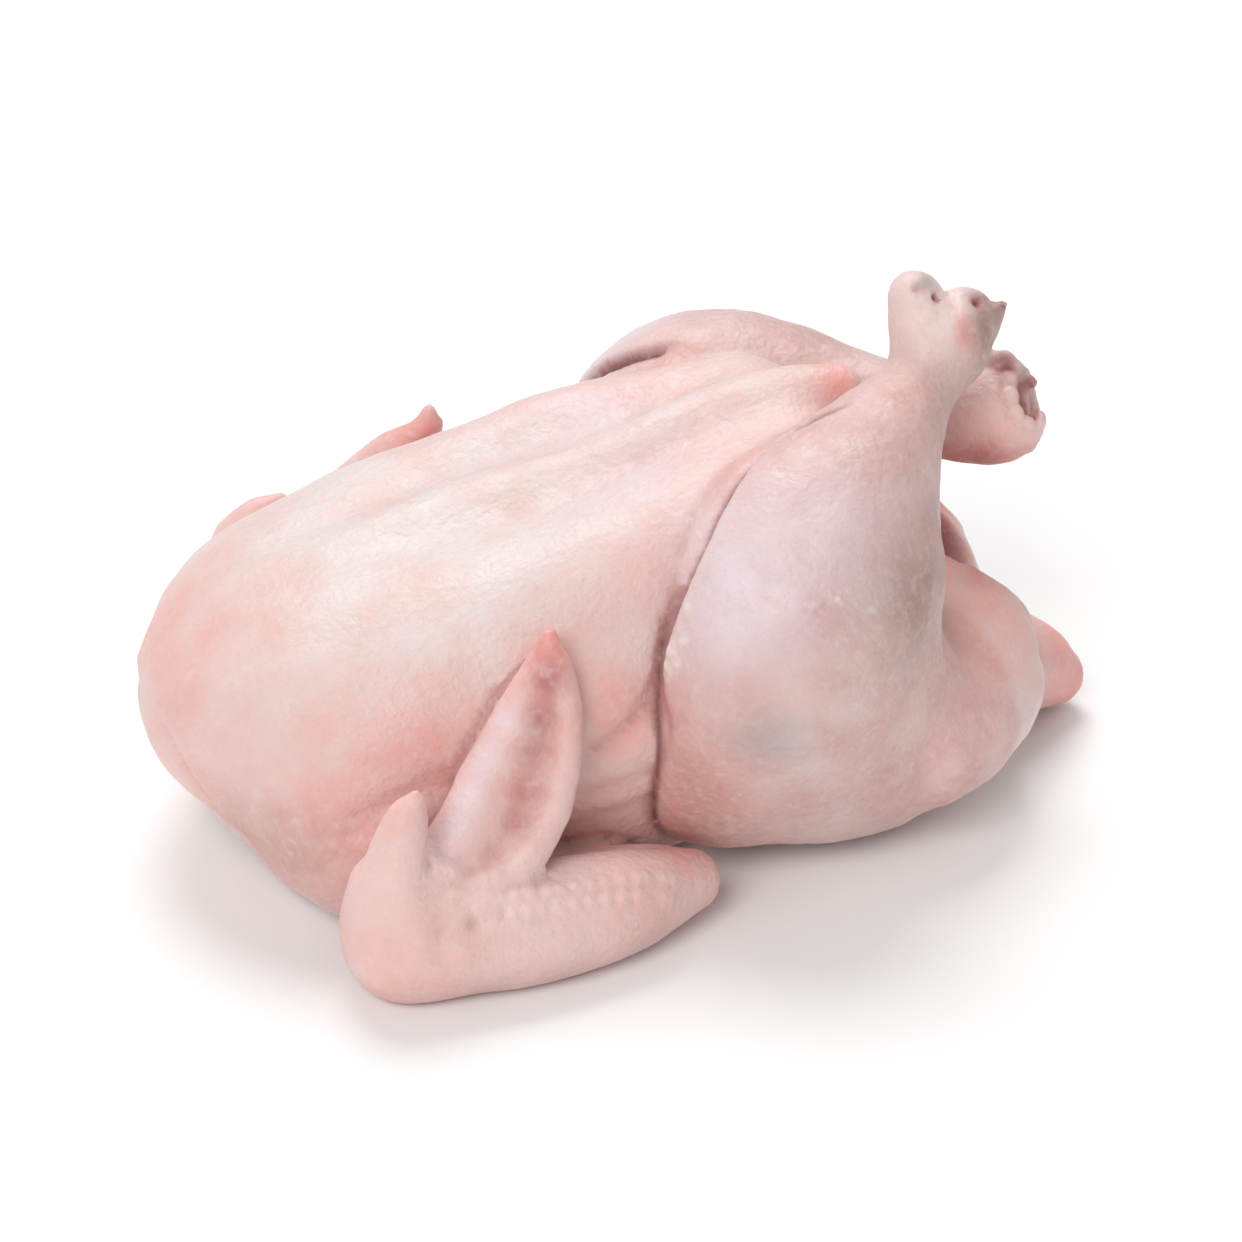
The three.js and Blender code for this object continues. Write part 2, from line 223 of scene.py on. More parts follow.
THIGH = ((35, 47, 39.5), (50.5, 29.5, 35), 2.25, -12)
THIGH_FRONT = ((8, 47.5, 31.5), (21, 23, 22))
RIGHT_DRUMSTICK = [
    (28.5, 50.5, 66.5, 37.5),
    (36, 48.5, 81, 36),
    (49, 41.5, 98, 25.8),
    (62.9, 32.5, 111.7, 15.8),
    (76, 22.5, 120.1, 10.8),
    (84, 17.5, 126, 10.8),
    (87.5, 14.5, 132.5, 9.8),
]
RIGHT_KNUCKLES = [
    [(81, 17, 127, 9), (78.8, 15, 136.5, 8), (78.2, 14, 143, 7.4)],
    [(90, 15.5, 127, 9), (94, 13.3, 136, 6.8)],
]
SPUR = [(97.5, 14, 131, 4), (101, 14, 135, 2.6), (103.6, 14, 138.3, 1.2)]
LEFT_DRUMSTICK = [
    (30.5, 50.5, 69.5, 34),
    (38, 48.5, 82, 32.5),
    (56, 41.5, 88, 25),
    (75.5, 29, 91, 17),
    (90, 16, 94.5, 12),
    (101.5, 7, 96.5, 14),
    (110, 3.5, 96.5, 15.2),
]
SOCKET_RIM = [
    (108, 9, 110.5, 2),
    (111.6, 3.5, 110.8, 2.8),
    (115.5, -1.5, 109, 1.9),
    (117.5, -6, 104.5, 2.6),
    (117.5, -8.5, 98, 1.8),
    (116, -8, 90.5, 2.4),
]
SOCKET = ((115.2, -8, 105), (3.6, 5.5, 7.5))
SOCKET_LIP = [
    (110.5, 2, 111.3, 1.6),
    (110.8, -4.5, 109.4, 1.5),
    (109.7, -8, 106.3, 1.7),
    (110.5, -10.2, 102.7, 1.5),
    (113.7, -10.8, 99.2, 1.7),
]
HOCK_CUT = ((125.5, -1, 101.5), (8, 8.5, 9))
SHREDS = [
    [(104.5, 10, 110, 2), (107.5, 8.5, 113.6, 2), (110, 6, 112.8, 1.3)],
    [(109, 5.5, 111, 2), (112.3, 2.5, 113.8, 1.8), (114.8, 0.5, 111, 1.2)],
    [(118.5, -5, 103, 1.6), (120.2, -6.5, 100.5, 1.7), (119, -8.5, 97, 1.4)],
]
KNUCKLE_BLEND = 4.5
CREASE = 1.6
SKIN_EDGE = 2.5


def thigh(side):
    return blend(muscle(*THIGH, side=side), muscle(*THIGH_FRONT, side=side), JOINT_BLEND)


def right_leg():
    field = blend(thigh(-1), limb(RIGHT_DRUMSTICK, -1), SKIN_BLEND)
    for knuckle in RIGHT_KNUCKLES:
        field = blend(field, limb(knuckle, -1), KNUCKLE_BLEND)
    return blend(field, limb(SPUR, -1), SKIN_EDGE)


def left_leg():
    field = blend(thigh(1), limb(LEFT_DRUMSTICK), SKIN_BLEND)
    field = blend(field, limb(SOCKET_RIM, lumps=0.28), SKIN_EDGE)
    for shred in SHREDS:
        field = blend(field, limb(shred), CREASE)
    field = carve(field, muscle(*HOCK_CUT), SKIN_EDGE)
    field = carve(field, muscle(*SOCKET), CREASE)
    return blend(field, limb(SOCKET_LIP, lumps=0.3), CREASE)


def ramp(value, start, end):
    """0 before start and 1 after end, with a soft rise between."""
    share = np.clip((value - start) / (end - start), 0, 1)
    return share * share * (3 - 2 * share)


SHARED_TOP, SHARED_START, SHARED_FADE = 56, 50, 24
SHARED_BLEND, LOOSE_BLEND = 24, 2


def leg_crease(points):
    """Thigh and rump share one skin low down at the back, and part in a fold elsewhere."""
    low = ramp(SHARED_TOP - points[:, 2], 0, SHARED_FADE) * ramp(points[:, 2], 0, SHARED_FADE)
    behind = ramp(points[:, 0] - SHARED_START, 0, SHARED_FADE)
    return CREASE + low * behind * SHARED_BLEND + behind * LOOSE_BLEND


# ---- Wings ---------------------------------------------------------------------------------
# Folded flat at the sides: the drumette goes back along the body, the forearm comes forward on
# the table to the wrist, and the hand points up the flank, with the small alula before it.
# The hand is a broad ridge over the bones and a thin web of skin with a thicker, wavy rim.

DRUMETTE = [(-79, 45, 18, 15.5), (-40.5, 59.5, 10, 10.5), (-11.5, 72, 11, 9.5)]
FOREARM = [
    (-4.5, 76.5, 12.5, 8.2),
    (-29, 84, 14, 14.5),
    (-58.5, 88, 14.5, 16),
    (-83, 84.5, 17, 15.5),
]
WRIST = [(-83.5, 85.5, 16, 15.5), (-86.5, 86, 30, 12)]
ALULA = [
    (-89, 86.5, 26, 10.3),
    (-86.3, 88, 42, 8),
    (-83.6, 87.5, 51.5, 5.8),
    (-82, 87.5, 55.5, 3.6),
]
CLAW = [(-81.3, 87.5, 56, 2), (-80.8, 87.4, 59.2, 1.1)]
LEFT_ALULA = [
    (-87.5, 86, 25.5, 10),
    (-89.5, 89, 40, 8.2),
    (-83, 88, 51.5, 5),
    (-76.5, 87, 55.5, 2.4),
]
HAND_FACING = (-0.256, 0.836, 0.485)
HAND_EDGE = [
    (-80, 88.5, 24, 6, 5.9),
    (-74.4, 82, 29.4, 8.6, 6.8),
    (-61.1, 75.5, 46.9, 8.6, 6.8),
    (-49, 69.2, 64.3, 7.1, 6),
    (-41.6, 65.3, 77.2, 4.4, 3.8),
    (-38.8, 65, 87, 1.7, 1.6),
]
HAND_WEB = [
    (-66, 85.2, 25, 8, 5),
    (-59.5, 85.6, 31.3, 9, 3.9),
    (-50.3, 82, 42, 9.8, 3.3),
    (-43.7, 76.6, 54.6, 9, 3),
    (-39.6, 71.2, 65.8, 6.8, 2.7),
    (-37.8, 66.2, 77.3, 4, 2.1),
    (-38.6, 65, 84, 2, 1.6),
]
WEB_RIM = [
    (-65, 87, 28, 1.9),
    (-59.5, 88.4, 29.8, 2),
    (-54, 88.6, 33.8, 2.1),
    (-47.9, 86.8, 40.2, 2.1),
    (-42.4, 83.4, 48.4, 2),
    (-38, 78, 60.3, 1.8),
    (-37, 73.4, 69, 1.6),
    (-37.3, 68.2, 78, 1.3),
]
WING_CREASE = 3.5
WEB_BLEND = 6.0
# The left hand is moved tailwards, outwards and up. The last two fade near its slimmer tip.
HAND_TIP, TIP_REACH = 87, 30
LEFT_BACK, LEFT_OUT, LEFT_LIFT = 2, 3, 9
LEFT_TIP_LIFT, LEFT_TIP_GIRTH = 3, 0.65


def wing(side):
    """The left hand lies higher up the flank with a slimmer tip, and its alula is bent back."""

    def raised(stations):
        if side < 0:
            return stations
        moved = []
        for x, y, z, *girths in stations:
            share = min(1, (HAND_TIP - z) / TIP_REACH)
            slim = LEFT_TIP_GIRTH + (1 - LEFT_TIP_GIRTH) * share
            place = (x + LEFT_BACK, y + LEFT_OUT * share, z + LEFT_TIP_LIFT + LEFT_LIFT * share)
            moved.append((*place, *(girth * slim for girth in girths)))
        return moved

    field = blend(limb(DRUMETTE, side), limb(FOREARM, side), CREASE)
    field = blend(field, limb(WRIST, side), JOINT_BLEND)
    web = limb(raised(HAND_WEB), side, HAND_FACING)
    rim = limb(raised(WEB_RIM), side, lumps=0.09, lump_length=5.5)
    web = blend(web, rim, WEB_BLEND)
    hand = blend(limb(raised(HAND_EDGE), side, HAND_FACING), web, WING_CREASE)
    field = blend(field, hand, WING_CREASE)
    if side > 0:
        return blend(field, limb(LEFT_ALULA), CREASE)
    return blend(field, blend(limb(ALULA, side), limb(CLAW, side), CREASE), CREASE)


def bird():
    field = blend(trunk(), rump(), SKIN_BLEND)
    field = carve(field, limb(VENT), VENT_RIM)
    field = blend(field, left_leg(), leg_crease)
    field = blend(field, right_leg(), leg_crease)
    return blend(field, both(wing, CREASE), CREASE)


# ---- Skin ----------------------------------------------------------------------------------
# The whole bird's skin as one closed mesh: a vertex in each small cell that the surface crosses,
# closer together at the wing hands, hocks and creases, drawn onto the surface, evened out, and
# pressed flat where the bird lies on the table.

CELL = 1.75
COARSE_STEPS = 3
BAND = 5.5
LOT = 4000  # places worked out at once
FLATTEST = 0.3  # the least squared slope that a step onto the surface allows for
EVENING, EVENING_ROUNDS = 0.5, 2
LOWEST = np.array([-144.0, -112.0, -9.0])
HIGHEST = np.array([151.0, 112.0, 160.0])
CORNERS = np.array([[c & 1, c >> 1 & 1, c >> 2 & 1] for c in range(8)])
MM = 0.001
THIGH_EDGE = [
    (52.6, 34.7, 127.5),
    (35.9, 35, 119.8),
    (16.9, 46.6, 111.4),
    (5.8, 55.6, 100.6),
    (-1.9, 58.6, 87),
    (-7.5, 62.1, 75),
    (-9.2, 65, 64.9),
    (-7.9, 68, 56.6),
    (-8.7, 67.2, 47.8),
    (-10.3, 64.6, 34.2),
    (-7, 53, 15),
]
FINE_SPOTS = [
    (-66, 86, 38, 17),
    (-52, 80, 52, 17),
    (-42, 72, 74, 15),
    (-81, 92, 46, 13),
    (86, 17, 141, 15),
    (114, 0, 104, 14),
    (-66, 94, 30, 11),
    (-104, 59, 40, 15),
    (-54, 96, 27, 8),
    (-42, 95, 27, 8),
    (-30, 94, 26, 8),
    (-18, 90, 22, 8),
]
FINE_EDGE = 4.0


def shared_out(field, places):
    """The field at many places, in small lots that are worked out side by side."""
    lots = np.array_split(places, len(places) // LOT + 1)
    with ThreadPoolExecutor() as pool:
        return np.concatenate(list(pool.map(field, lots)))


def sampled(field):
    """The field on a grid: on every node near the surface, and from a coarse grid elsewhere."""
    step = CELL * COARSE_STEPS
    counts = np.ceil((HIGHEST - LOWEST) / step).astype(int)
    coarse = [LOWEST[a] + step * np.arange(counts[a] + 1) for a in range(3)]
    nodes = np.stack(np.meshgrid(*coarse, indexing="ij"), axis=-1).reshape(-1, 3)
    values = shared_out(field, nodes)
    values = values.reshape([len(line) for line in coarse])
    lines = [LOWEST[a] + CELL * np.arange(counts[a] * COARSE_STEPS + 1) for a in range(3)]
    for axis in range(3):
        place = np.arange(len(lines[axis])) / COARSE_STEPS
        first = np.minimum(place.astype(int), counts[axis] - 1)
        share = (place - first).reshape([-1 if a == axis else 1 for a in range(3)])
        low, high = np.take(values, first, axis), np.take(values, first + 1, axis)
        values = low + share * (high - low)
    near = np.abs(values) < BAND
    i, j, k = np.nonzero(near)
    values[near] = shared_out(field, np.stack([lines[0][i], lines[1][j], lines[2][k]], axis=1))
    return lines, values


def net(lines, values):
    """Vertices and four-sided faces of the surface through the grid."""
    cells = tuple(n - 1 for n in values.shape)
    inside = values < 0
    crossed = np.zeros(cells, dtype=np.int8)
    for x, y, z in CORNERS:
        crossed += inside[x : x + cells[0], y : y + cells[1], z : z + cells[2]]
    crossed = np.argwhere((crossed > 0) & (crossed < len(CORNERS)))
    index = np.full(cells, -1)
    index[tuple(crossed.T)] = np.arange(len(crossed))
    total, found = np.zeros((len(crossed), 3)), np.zeros(len(crossed))
    for start in CORNERS:
        for axis in np.nonzero(start == 0)[0]:
            end = start + np.eye(3, dtype=int)[axis]
            a, b = values[tuple((crossed + start).T)], values[tuple((crossed + end).T)]
            hit = (a < 0) != (b < 0)
            share = np.where(hit, a / np.where(hit, a - b, 1), 0)
            total += hit[:, None] * (start + share[:, None] * (end - start))
            found += hit
    origin = np.array([line[0] for line in lines])
    corners = origin + CELL * (crossed + total / found[:, None])
    faces = []
    for axis in range(3):
        step, side, up = (np.eye(3, dtype=int)[(axis + n) % 3] for n in range(3))
        ahead = inside[step[0] :, step[1] :, step[2] :]
        here = inside[tuple(slice(0, n) for n in ahead.shape)]
        edges = np.argwhere(here != ahead)
        ring = [edges, edges - side, edges - side - up, edges - up]
        quads = np.stack([index[tuple(cell.T)] for cell in ring], axis=1)
        outward = inside[tuple(edges.T)]
        faces.append(np.where(outward[:, None], quads, quads[:, ::-1]))
    return corners, np.vstack(faces)


def column(items, name, width, kind=np.float64):
    """One property of every item of a Blender collection as an array, a row for each item."""
    flat = np.empty(len(items) * width, dtype=kind)
    items.foreach_get(name, flat)
    return flat.reshape(-1, width) if width > 1 else flat


def neighbour_mean(places, edges):
    total, count = np.zeros_like(places), np.zeros(len(places))
    for a, b in (edges.T, edges.T[::-1]):
        count += np.bincount(a, minlength=len(places))
        for axis in range(3):
            total[:, axis] += np.bincount(a, places[b, axis], len(places))
    return total / count[:, None]


def settled(field, places, step=0.1):
    """The places moved along the field's slope onto its surface, half a cell at most."""
    value = shared_out(field, places)
    ahead = [shared_out(field, places + step * axis) for axis in np.eye(3)]
    slope = (np.stack(ahead, axis=1) - value[:, None]) / step
    pull = -value / np.maximum((slope**2).sum(axis=1), FLATTEST)
    return places + slope * np.clip(pull, -CELL / 2, CELL / 2)[:, None]


surface = bird()
corners, quads = net(*sampled(surface))

skin_mesh = bpy.data.meshes.new("skin")
skin_mesh.from_pydata((corners * MM).tolist(), [], quads.tolist())
bm = bmesh.new()
bm.from_mesh(skin_mesh)
fine = np.zeros(len(corners), dtype=bool)
for side in (-1, 1):
    for x, y, z, reach in FINE_SPOTS:
        fine |= np.linalg.norm(corners - (x, y * side, z), axis=1) < reach
    for x, y, z in path(THIGH_EDGE, side):
        fine |= np.linalg.norm(corners - (x, y, z), axis=1) < FINE_EDGE
fine_edges = [e for e in bm.edges if fine[e.verts[0].index] and fine[e.verts[1].index]]
bmesh.ops.subdivide_edges(bm, edges=fine_edges, cuts=1, use_grid_fill=True)
bm.to_mesh(skin_mesh)
bm.free()

points = column(skin_mesh.vertices, "co", 3) / MM
edges = column(skin_mesh.edges, "vertices", 2, np.int32)
for _ in range(EVENING_ROUNDS):
    points = settled(surface, points + EVENING * (neighbour_mean(points, edges) - points))

# ---- Folds and follicles -------------------------------------------------------------------
# Loose skin lies in folds at the flanks, shoulders, wrists and neck, and the breast dips beside
# the keel. Plucking has left a small bump at each feather's root, in rows along the wing.

LINE_STEPS, SETTLINGS = 5, 4
WAVE_HEIGHT, WAVE_RATE = 1.8, 0.13
WIDTHS_FELT = 2.5  # a line is felt within so many of its widths
SIDE_CHANGE = 0.3  # how softly one width gives way to the other
HALF_TURN, THINNING = 3.14, 0.6


def laid(stations, side=1):
    """A line through the stations, drawn onto the bird's surface, and wavier on its left side."""
    line = path(stations, side, LINE_STEPS)
    if side > 0:
        line = line + WAVE_HEIGHT * np.sin(WAVE_RATE * line[:, [2, 0, 0]] + (1, 2, 3))
    for _ in range(SETTLINGS):
        line = settled(surface, line)
    return line


def nearness(places, line, width, far_width=None, far_way=(0, 0, -1)):
    """1 on the line, fading over its width, or over a second one on its side that lies far_way,
    and thinning out towards the line's ends."""
    far_width = far_width or width
    strength = np.zeros(len(places))
    span = WIDTHS_FELT * max(width, far_width)
    near = ((places > line.min(axis=0) - span) & (places < line.max(axis=0) + span)).all(axis=1)
    spots, starts, stretches = places[near], line[:-1], np.diff(line, axis=0)
    lengths = np.maximum((stretches**2).sum(axis=1), TINY**2)
    along = spots @ stretches.T - (starts * stretches).sum(axis=1)
    share = np.clip(along / lengths, 0, 1)
    gap = (spots**2).sum(axis=1)[:, None] - 2 * spots @ starts.T + (starts**2).sum(axis=1)
    nearest = (gap + share * (share * lengths - 2 * along)).argmin(axis=1)
    share = share[np.arange(len(spots)), nearest]
    offset = spots - starts[nearest] - share[:, None] * stretches[nearest]
    gap = np.linalg.norm(offset, axis=1)
    beyond = offset @ np.array(far_way) / np.maximum(gap, TINY)
    beyond = ramp(beyond, -SIDE_CHANGE, SIDE_CHANGE)
    fade = width + beyond * (far_width - width)
    thinning = np.sin(np.clip((nearest + share) / len(starts), 0, 1) * HALF_TURN) ** THINNING
    strength[near] = np.exp(-((gap / fade) ** 2)) * thinning
    return strength


def dot(spot, radius):
    """1 at the place on the skin nearest the spot, fading over the radius."""
    centre = np.array([spot], dtype=float)
    for _ in range(SETTLINGS):
        centre = settled(surface, centre)
    return np.exp(-((points - centre) ** 2).sum(axis=1) / radius**2)


SHOULDER_FOLD = [
    (-103, 61.2, 39.1),
    (-96, 65.5, 39.8),
    (-88.5, 67.6, 42.1),
    (-80.5, 67.8, 44.7),
    (-73.6, 67.4, 47.2),
    (-66, 66.7, 52.5),
]
NECK_FOLD = [
    (-134.3, 4.9, 49.7),
    (-132.3, 17.3, 48.3),
    (-129.4, 25.3, 42.2),
    (-121, 31, 29),
    (-111.6, 26, 8),
]
UPPER_THIGH_EDGE = THIGH_EDGE[:7]
DOWN = (0, 0, -1)
NECKWARD = (-1, 0, 0)
TAILWARD = (1, 0, 0)

# Each fold is a line, its width, its width on the far side, the way that side lies, and its
# depth, which is negative where the skin is raised.
FOLDS = [
    (SHOULDER_FOLD, 3.6, 8, DOWN, 2.4),
    ([(-94, 58, 55), (-82, 60, 58), (-68, 60, 64)], 9, 9, DOWN, -1.6),
    (
        [(-110.3, 52.9, 28.7), (-105.6, 59.5, 29.4), (-99, 65.4, 29.8), (-90, 68, 31)],
        2.4,
        3.5,
        DOWN,
        0.6,
    ),
    ([(-112, 50, 33), (-107, 57, 34), (-99, 64.5, 34.5), (-90, 68, 36.5)], 2.4, 3.5, DOWN, 0.4),
    ([(-107.5, 54.8, 21.9), (-102.4, 62.1, 23.9), (-94, 66, 25)], 2.4, 3.5, DOWN, 0.5),
    ([(-115.2, 42.4, 27.6), (-111.9, 49.3, 27.5), (-107, 56, 26)], 2.4, 3.5, DOWN, 0.5),
    (
        [(-34.3, 68.7, 50.4), (-24.3, 67.9, 53.3), (-14.6, 65.6, 60.4), (-9, 63, 70)],
        1.8,
        6,
        DOWN,
        2.2,
    ),
    ([(-36, 68, 60), (-26, 67, 63), (-17, 65, 70)], 7, 7, DOWN, -1.4),
    ([(-34, 68.5, 40), (-22, 68, 38.5), (-10, 65.5, 42)], 1.8, 4, DOWN, 0.9),
    ([(-30, 68.5, 30), (-20, 68, 28), (-9, 65.5, 31)], 1.8, 4, DOWN, 0.8),
    ([(-75, 95, 36), (-79, 99, 28), (-80, 101, 20), (-76, 102, 13)], 1.8, 4, TAILWARD, 0.9),
    ([(-66, 95, 33), (-70, 99, 27), (-70, 101, 20)], 1.8, 3.5, TAILWARD, 0.5),
    ([(-90, 96, 32), (-90, 99, 24), (-87, 101, 17)], 1.6, 3.5, NECKWARD, 0.5),
    (UPPER_THIGH_EDGE, 1.1, 2.2, NECKWARD, 2.6),
    (THIGH_EDGE, 2.5, 6, NECKWARD, 0.6),
    ([(x + 3.2, y + 1.5, z) for x, y, z in THIGH_EDGE], 2, 8, TAILWARD, -1.1),
    (NECK_FOLD, 1.5, 3, DOWN, 1.4),
    (
        [(-133.5, 8, 54), (-130, 23, 49), (-124.5, 33, 38), (-116, 37, 24), (-108, 41, 10)],
        2,
        2,
        DOWN,
        -0.9,
    ),
    (
        [(69.5, 53.9, 111), (68.5, 60.6, 100.9), (69.3, 62.7, 88.7), (70.7, 63.9, 66)],
        1.8,
        1.8,
        DOWN,
        -1.2,
    ),
    ([(66, 58, 110), (65, 64, 99), (65.5, 66, 87), (67, 67, 68)], 1.5, 3, NECKWARD, 0.7),
    ([(69.5, 56, 84), (71, 58, 74), (72, 60, 64), (71.5, 62, 54)], 1.6, 5, TAILWARD, 1.5),
    (
        [(84, 27, 64.9), (93, 25, 61.5), (103, 21, 52), (105, 35, 43), (95, 50, 33)],
        2,
        2,
        DOWN,
        -1.1,
    ),
    ([(83, 32, 64), (91, 30, 60), (99, 29, 52), (99, 38, 43)], 1.6, 3, NECKWARD, 0.7),
    ([(113, 13, 38), (112.5, 19, 30), (110, 22, 20), (107, 20, 8)], 1.8, 4, TAILWARD, 1.8),
]
KEEL_VALLEY = [
    (-101.8, 7.2, 82.4),
    (-73.4, 9.6, 90.5),
    (-43.5, 16.9, 94.6),
    (-14.1, 20.3, 101),
    (12.5, 15, 107.8),
]
BREAST_CREST = [(-75, 32, 82), (-40, 36, 90), (0, 34, 100), (30, 28, 108)]

# Each line of the breast, its side, its width and how far it rises.
BREAST_RELIEF = [
    (KEEL_VALLEY, 1, 8, -2.4),
    (KEEL_VALLEY, -1, 10, -1.2),
    (BREAST_CREST, 1, 11, 1.6),
]

# Each bead's place and radius, and each dent's place, radius and strength.
FAT_BEADS = [
    (-0.5, 63.7, 86.3, 1.3),
    (-5.5, 65.2, 75.8, 1.5),
    (-6.3, 65.8, 72.5, 1.2),
    (-3.6, 67.4, 73.4, 1.1),
    (-3.4, 67.2, 79.5, 1.2),
    (-5.2, 66, 69.4, 0.9),
    (26.6, 81.6, 93.7, 0.8),
    (33, 82, 94, 0.9),
    (41.7, 83, 90, 0.8),
]
BEAD_HEIGHT = 1.1
HOCK_DENTS = [
    (76.3, -19, 148.2, 1.4, 0.4),
    (82.2, -20, 145.5, 1.3, 0.9),
    (83, -19.5, 145, 1.1, 0.6),
    (95.2, -18.5, 142.8, 1.9, 1),
]
DENT_DEPTH = 2.2
WING_FOLLICLES = [
    [
        (-60, 95.5, 29),
        (-53.4, 94.9, 28.7),
        (-45.1, 93.9, 28.6),
        (-34.1, 93.1, 27.9),
        (-22.8, 91.4, 26),
        (-10.6, 87.5, 20.7),
    ],
    [
        (-62, 99, 26),
        (-54.7, 99.1, 25.8),
        (-46.5, 98.5, 25.6),
        (-35.5, 97.6, 24.8),
        (-24.2, 96, 22.7),
        (-12, 92, 16.9),
    ],
]
FOLLICLE_GAP, FOLLICLE_SIZE, FOLLICLE_HEIGHT = 4.2, 1.5, 0.85

# Each puckered patch: its place, its reach, the size of its puckers along each axis, its depth.
PUCKERS = [
    (-66, 95, 32, 11, (6, 6, 4.5), 0.9),
    (-78, 96, 24, 16, (6, 6, 5), 1.1),
    (-104, 60, 39, 15, (14, 14, 5), 0.7),
    (-84, 68, 40, 14, (14, 14, 6), 0.6),
    (-22, 68, 34, 16, (11, 11, 6), 0.7),
    (74, 26, 121, 12, (5, 12, 12), 0.5),
    (-118, 34, 22, 20, (12, 12, 6), 0.6),
]

SAG_LENGTH, SAG_HEIGHT = 34, 0.9
RIPPLE_LENGTH, RIPPLE_HEIGHT = 9, 0.15
GOOSE_GAP, GOOSE_HEIGHT, GOOSE_MIDDLE = 4.6, 0.4, 0.45
BODY_GOOSE, LEG_GOOSE, WING_GOOSE = 0.1, 0.5, 0.3
LIMB_FADE = (-1, 3)  # how proud of the trunk a limb stands, from no share in it to all
# Widths of the painted shade along the thigh's upper edge and along the seam between thigh and
# body, and the lengthwise span over which the seam's shade fades out towards the tail.
EDGE_WIDTH, SEAM_WIDTH = 1.3, 0.75
SEAM_REACH = (50, 25)
TABLE_FADE = (0.5, 7)  # the heights between which the relief sets in above the table

height = np.zeros(len(points))
for stations, width, far_width, far_way, depth in FOLDS:
    for side in (-1, 1):
        height -= depth * nearness(points, laid(stations, side), width, far_width, far_way)
for stations, side, width, rise in BREAST_RELIEF:
    height += rise * nearness(points, laid(stations, side), width)
beads = np.zeros(len(points))
for x, y, z, radius in FAT_BEADS:
    for side in (-1, 1):
        beads = np.maximum(beads, dot((x, y * side, z), radius))
height += BEAD_HEIGHT * beads
holes = np.zeros(len(points))
for x, y, z, radius, strength in HOCK_DENTS:
    holes = np.maximum(holes, strength * dot((x, y, z), radius))
height -= DENT_DEPTH * holes
for row in WING_FOLLICLES:
    for side in (-1, 1):
        line = laid(row, side)
        run = np.cumsum(np.linalg.norm(np.diff(line, axis=0, prepend=line[:1]), axis=1))
        for at in np.arange(FOLLICLE_GAP / 2, run[-1], FOLLICLE_GAP):
            height += FOLLICLE_HEIGHT * dot(line[np.searchsorted(run, at)], FOLLICLE_SIZE)

body = trunk()(points)
on_wing = ramp(body - both(wing, CREASE)(points), *LIMB_FADE)
leg_gaps = [body - right_leg()(points), body - left_leg()(points)]
on_leg = np.maximum(*[ramp(gap, *LIMB_FADE) for gap in leg_gaps])
# Painted shade in the fold between each leg and the body: dark where the two fields nearly meet,
# and along the thigh's upper edge.
seam_gap = np.minimum(*np.abs(leg_gaps))
thigh_seam_shade = np.exp(-((seam_gap / SEAM_WIDTH) ** 2)) * ramp(points[:, 0], *SEAM_REACH)
thigh_seam_shade *= 1 - on_wing
thigh_edge_shade_lines = [nearness(points, laid(UPPER_THIGH_EDGE, side), EDGE_WIDTH) for side in (-1, 1)]


SEED_SHIFT = (17.3, -9.1, 5.7)
FINER_FALL, FINER_STEP = 1.0, 2.0


def unevenness(places, scale, seed, octaves=3):
    """Smooth noise of about -1 to 1, with features about as long as the scale."""
    shift = Vector([seed * part for part in SEED_SHIFT])
    spots = (Vector(p) / scale + shift for p in places)
    return np.array([noise.fractal(spot, FINER_FALL, FINER_STEP, octaves) for spot in spots])


sag = SAG_HEIGHT * unevenness(points, SAG_LENGTH, seed=1)
height += sag + RIPPLE_HEIGHT * unevenness(points, RIPPLE_LENGTH, seed=2, octaves=2)
for x, y, z, reach, grain, depth in PUCKERS:
    away = np.minimum(*[np.linalg.norm(points - (x, y * side, z), axis=1) for side in (-1, 1)])
    close = away < 2 * reach
    strength = depth * np.exp(-((away[close] / reach) ** 2))
    height[close] += strength * unevenness(points[close] / grain, 1, seed=4, octaves=1)
goose = np.array([noise.voronoi(Vector(p) / GOOSE_GAP)[0][0] for p in points])
bumpy = np.clip(BODY_GOOSE + LEG_GOOSE * on_leg + WING_GOOSE * on_wing, 0, 1)
height += GOOSE_HEIGHT * bumpy * (GOOSE_MIDDLE - goose)

skin_mesh.vertices.foreach_set("co", (points * MM).ravel())
skin_mesh.update()
normals = column(skin_mesh.vertex_normals, "vector", 3)
height *= ramp(points[:, 2], *TABLE_FADE)
points += height[:, None] * normals
points[:, 2] = np.maximum(points[:, 2], 0)
skin_mesh.vertices.foreach_set("co", (points * MM).ravel())
skin_mesh.polygons.foreach_set("use_smooth", np.ones(len(skin_mesh.polygons), dtype=bool))
skin_mesh.update()
skin = bpy.data.objects.new("skin", skin_mesh)
bpy.context.scene.collection.objects.link(skin)
